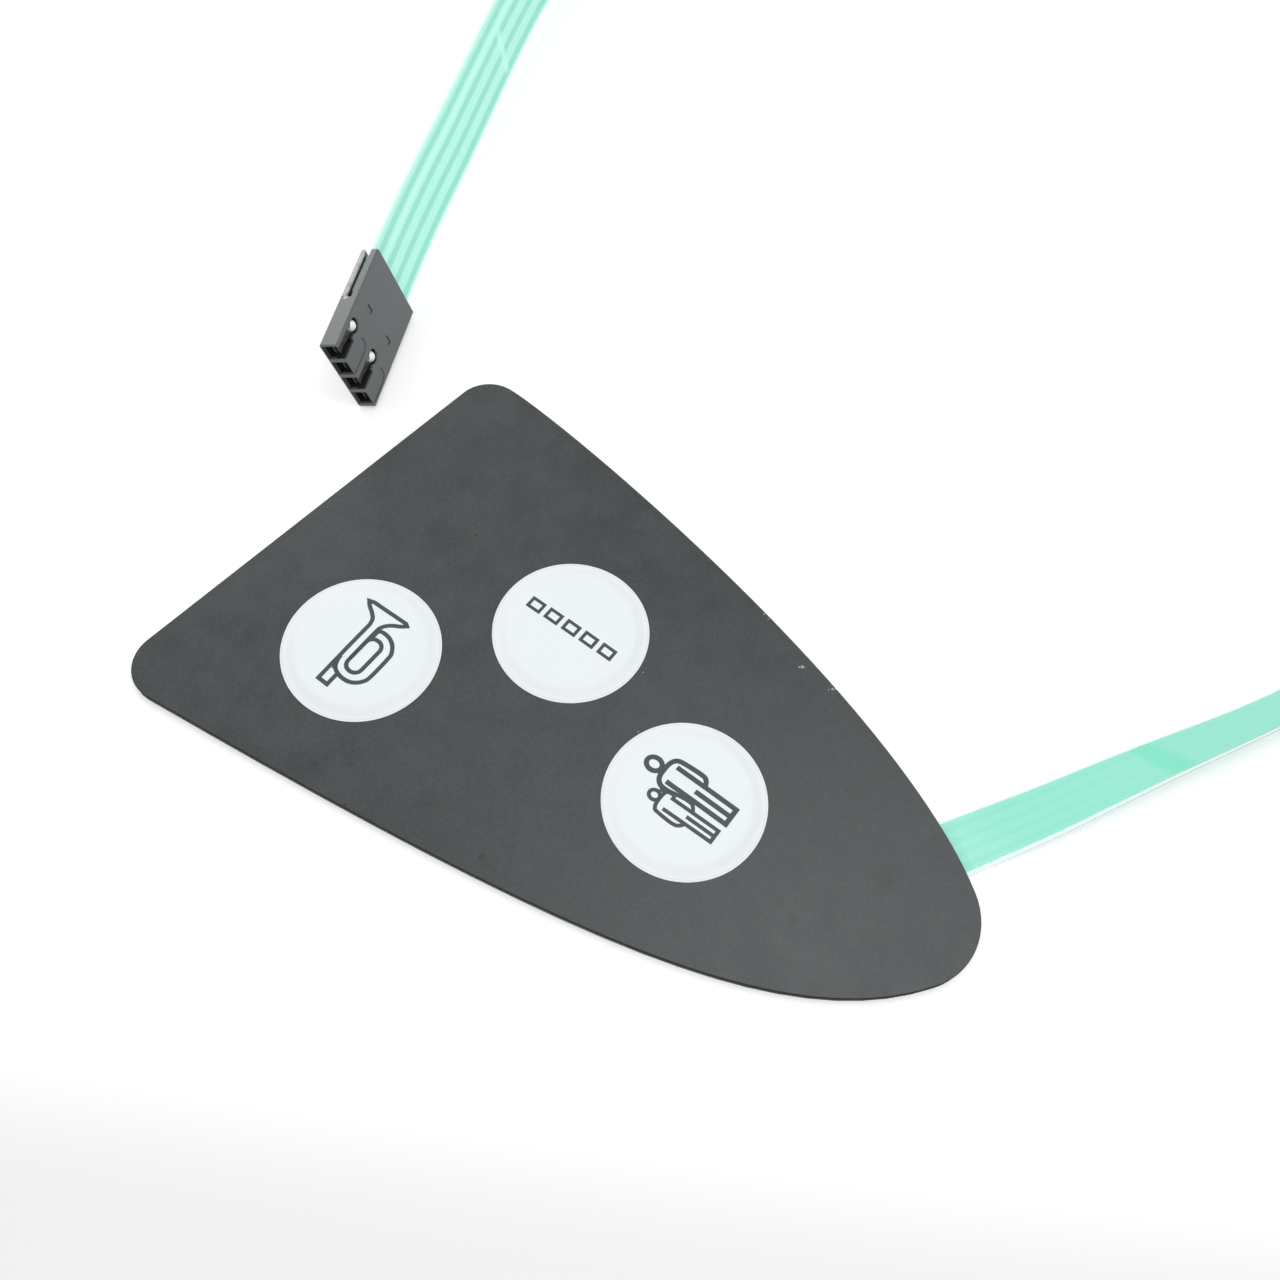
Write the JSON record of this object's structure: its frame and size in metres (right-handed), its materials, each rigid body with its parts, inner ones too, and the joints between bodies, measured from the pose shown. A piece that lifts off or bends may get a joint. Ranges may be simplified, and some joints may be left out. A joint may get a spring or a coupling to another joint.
{
  "type": "membrane keypad",
  "caption": "Flat membrane keypad with a tapered rounded-nose outline, raised round white keys, a film tail and an inline film connector.",
  "frame": {"origin": "middle of the panel's bounding box, on the face of the release liner that it lies on", "axes": "+X across the panel towards its right shoulder, +Y from the rounded nose to the shoulders, +Z out of the keys"},
  "size_m": [0.2052, 0.1445, 0.0106],
  "materials": {
    "overlay": "matte textured printed film",
    "clear_adhesive": "clear pressure-sensitive adhesive",
    "clear_film": "clear polyester film",
    "spacer_film": "white polyester spacer",
    "dome_steel": "pressed stainless strip",
    "silver_ink": "printed silver ink",
    "circuit_film": "translucent mint-green polyester",
    "liner": "coated release paper",
    "connector": "dark grey moulded",
    "tin": "bright tin plate"
  },
  "bodies": {
    "root": {"graphic_overlay": "overlay", "overlay_adhesive": "clear_adhesive", "dome_retainer": "clear_film", "dome_spacer": "spacer_film", "horn_dome": "dome_steel", "level_dome": "dome_steel", "people_dome": "dome_steel", "printed_circuit": "silver_ink", "circuit_film": "circuit_film", "rear_adhesive": "clear_adhesive", "release_liner": "liner", "film_tail": "circuit_film", "connector_housing": "connector", "connector_cover": "connector", "contact_1": "tin", "contact_2": "tin", "contact_3": "tin", "contact_4": "tin"}
  },
  "joints": []
}
